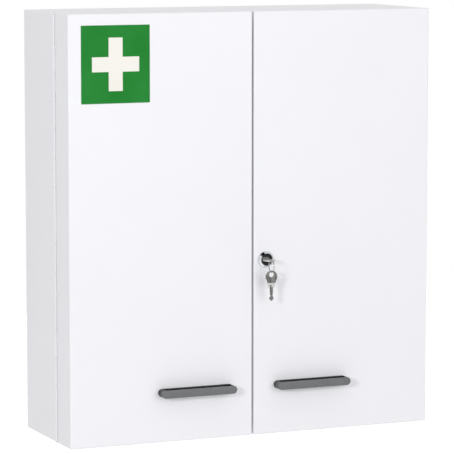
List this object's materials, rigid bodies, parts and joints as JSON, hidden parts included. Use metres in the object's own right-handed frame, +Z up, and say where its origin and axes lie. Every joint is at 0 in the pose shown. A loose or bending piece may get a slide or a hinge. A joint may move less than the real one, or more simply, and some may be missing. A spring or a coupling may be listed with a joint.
{
  "type": "lockable medicine cabinet",
  "caption": "Wall-hung steel medicine cabinet with two deep lockable doors that hold bins, inner shelves, handles, a cam lock with keys on a ring and a first-aid cross sign.",
  "frame": {"origin": "centre of the four wall holes, on the back face", "axes": "+X to the right seen from the front, +Y into the wall, +Z up; the doors face -Y"},
  "size_m": [0.5548, 0.2106, 0.6],
  "materials": {
    "white_powder_coat": "fine powder coat, satin, slightly orange-peeled",
    "sign_green": "smooth green print, satin",
    "sign_white": "smooth white print, satin",
    "grey_plastic": "moulded grey plastic, fine grain",
    "chrome_plate": "bright chrome plate",
    "zinc_plate": "zinc-plated steel, satin",
    "key_nickel": "nickel-plated, rubbed",
    "black_rubber": "moulded rubber, matt"
  },
  "bodies": {
    "cabinet": {"carcass": "white_powder_coat", "back_panel": "white_powder_coat", "left_front_upright": "zinc_plate", "left_rear_upright": "zinc_plate", "right_front_upright": "zinc_plate", "right_rear_upright": "zinc_plate", "lower_shelf": "white_powder_coat", "middle_shelf": "white_powder_coat", "upper_shelf": "white_powder_coat", "shelf_clips": "zinc_plate", "door_buffers": "black_rubber", "left_body_leaf": "white_powder_coat", "right_body_leaf": "white_powder_coat", "left_hinge_pin": "zinc_plate", "right_hinge_pin": "zinc_plate"},
    "left_door": {"left_door_shell": "white_powder_coat", "left_door_leaf": "white_powder_coat", "left_lower_bin": "white_powder_coat", "left_upper_bin": "white_powder_coat", "left_bottom_rail": "white_powder_coat", "left_handle": "grey_plastic", "left_handle_screws": "zinc_plate", "sign_plate": "sign_green", "sign_cross": "sign_white", "bolt_guide": "zinc_plate", "bolt_guide_rivets": "zinc_plate"},
    "left_bolt": {"bolt_bar": "zinc_plate", "bolt_knob": "zinc_plate"},
    "right_door": {"right_door_shell": "white_powder_coat", "right_door_leaf": "white_powder_coat", "right_lower_bin": "white_powder_coat", "right_upper_bin": "white_powder_coat", "right_bottom_rail": "white_powder_coat", "right_handle": "grey_plastic", "right_handle_screws": "zinc_plate", "lock_body": "chrome_plate", "lock_nut": "chrome_plate"},
    "lock_plug": {"lock_plug": "chrome_plate", "lock_cam": "zinc_plate", "cam_screw": "zinc_plate", "inserted_key": "key_nickel"},
    "key_ring": {"key_ring": "key_nickel"},
    "spare_key": {"spare_key": "key_nickel"}
  },
  "joints": [
    {"name": "left_door_hinge", "type": "hinge", "parent": "cabinet", "child": "left_door", "pos_m": [-0.2755, -0.1255, 0], "axis": [0, 0, -1], "range_deg": [0, 175]},
    {"name": "right_door_hinge", "type": "hinge", "parent": "cabinet", "child": "right_door", "pos_m": [0.2755, -0.1255, 0], "axis": [0, 0, 1], "range_deg": [0, 175]},
    {"name": "lock_turn", "type": "hinge", "parent": "right_door", "child": "lock_plug", "pos_m": [0.0187, -0.18, -0.0495], "axis": [0, 1, 0], "range_deg": [0, 90]},
    {"name": "left_bolt_slide", "type": "slide", "parent": "left_door", "child": "left_bolt", "axis": [0, 0, 1], "range_m": [0, 0.014]},
    {"name": "ring_swing", "type": "hinge", "parent": "lock_plug", "child": "key_ring", "pos_m": [0.0187, -0.2012, -0.0479], "axis": [0, -1, 0], "range_deg": [-25, 25]},
    {"name": "spare_key_swing", "type": "hinge", "parent": "key_ring", "child": "spare_key", "pos_m": [0.0187, -0.2012, -0.0657], "axis": [0, -1, 0], "range_deg": [-35, 35]}
  ]
}
